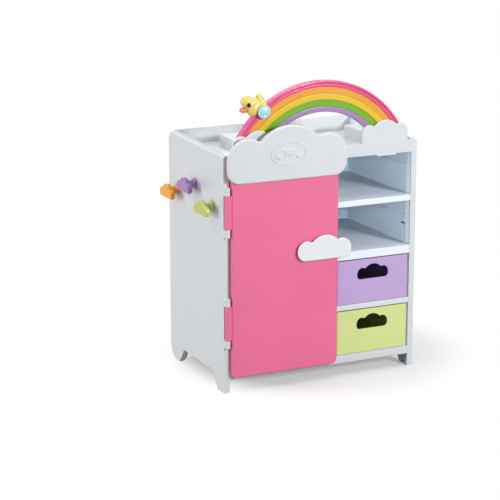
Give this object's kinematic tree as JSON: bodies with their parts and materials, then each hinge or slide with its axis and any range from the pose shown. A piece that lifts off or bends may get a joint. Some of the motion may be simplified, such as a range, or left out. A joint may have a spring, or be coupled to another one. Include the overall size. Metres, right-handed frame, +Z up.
{
  "type": "doll wardrobe",
  "caption": "Toy wardrobe on feet with a hinged door, open shelves beside it, sliding drawers below them, cloud trims and a rainbow with a duckling on top.",
  "frame": {"origin": "on the ground, under the middle of the whole object's bounding box at rest", "axes": "+X to the right seen from the front, +Y to the rear, +Z up from the ground through the cabinet"},
  "size_m": [0.3584, 0.227, 0.4768],
  "materials": {
    "white_plastic": "satin white moulded plastic",
    "screw_steel": "zinc-plated",
    "pin_steel": "plain drawn wire",
    "door_pink": "satin pink moulded plastic",
    "drawer_purple": "satin lilac moulded plastic",
    "drawer_green": "satin pale green moulded plastic",
    "knob_orange": "glossy orange",
    "knob_purple": "glossy purple",
    "knob_green": "glossy yellow-green",
    "rainbow_pink": "glossy deep pink",
    "rainbow_orange": "satin orange",
    "rainbow_yellow": "satin yellow",
    "rainbow_green": "satin grass green",
    "rainbow_purple": "satin violet",
    "duck_yellow": "soft yellow vinyl",
    "duck_orange": "painted orange",
    "duck_blue": "pale blue paint with white dots",
    "duck_black": "glossy black paint"
  },
  "bodies": {
    "cabinet": {"side_panel_left": "white_plastic", "side_panel_right": "white_plastic", "side_liner_left": "white_plastic", "side_liner_right": "white_plastic", "divider_shell": "white_plastic", "divider_liner": "white_plastic", "floor_panel": "white_plastic", "shelf_lower": "white_plastic", "shelf_middle": "white_plastic", "shelf_upper": "white_plastic", "back_panel": "white_plastic", "top_tray": "white_plastic", "arch_socket_left": "white_plastic", "arch_socket_right": "white_plastic", "back_screws": "screw_steel", "clothes_rail": "white_plastic", "hinge_pin_lower": "pin_steel", "hinge_pin_upper": "pin_steel", "knob_orange": "knob_orange", "knob_purple": "knob_purple", "knob_green": "knob_green", "rainbow_pink": "rainbow_pink", "rainbow_orange": "rainbow_orange", "rainbow_yellow": "rainbow_yellow", "rainbow_green": "rainbow_green", "rainbow_purple": "rainbow_purple", "duck_body": "duck_yellow", "duck_beak": "duck_orange", "duck_wings": "duck_blue", "duck_eyes": "duck_black"},
    "door": {"door_panel": "door_pink", "door_cloud": "white_plastic", "door_handle": "white_plastic"},
    "drawer_upper_body": {"drawer_upper": "drawer_purple"},
    "drawer_lower_body": {"drawer_lower": "drawer_green"}
  },
  "joints": [
    {"name": "door_hinge", "type": "hinge", "parent": "cabinet", "child": "door", "pos_m": [-0.153, -0.1031, 0.2], "axis": [0, 0, -1], "range_deg": [0, 95]},
    {"name": "drawer_upper_slide", "type": "slide", "parent": "cabinet", "child": "drawer_upper_body", "axis": [0, -1, 0], "range_m": [0, 0.15]},
    {"name": "drawer_lower_slide", "type": "slide", "parent": "cabinet", "child": "drawer_lower_body", "axis": [0, -1, 0], "range_m": [0, 0.15]}
  ]
}
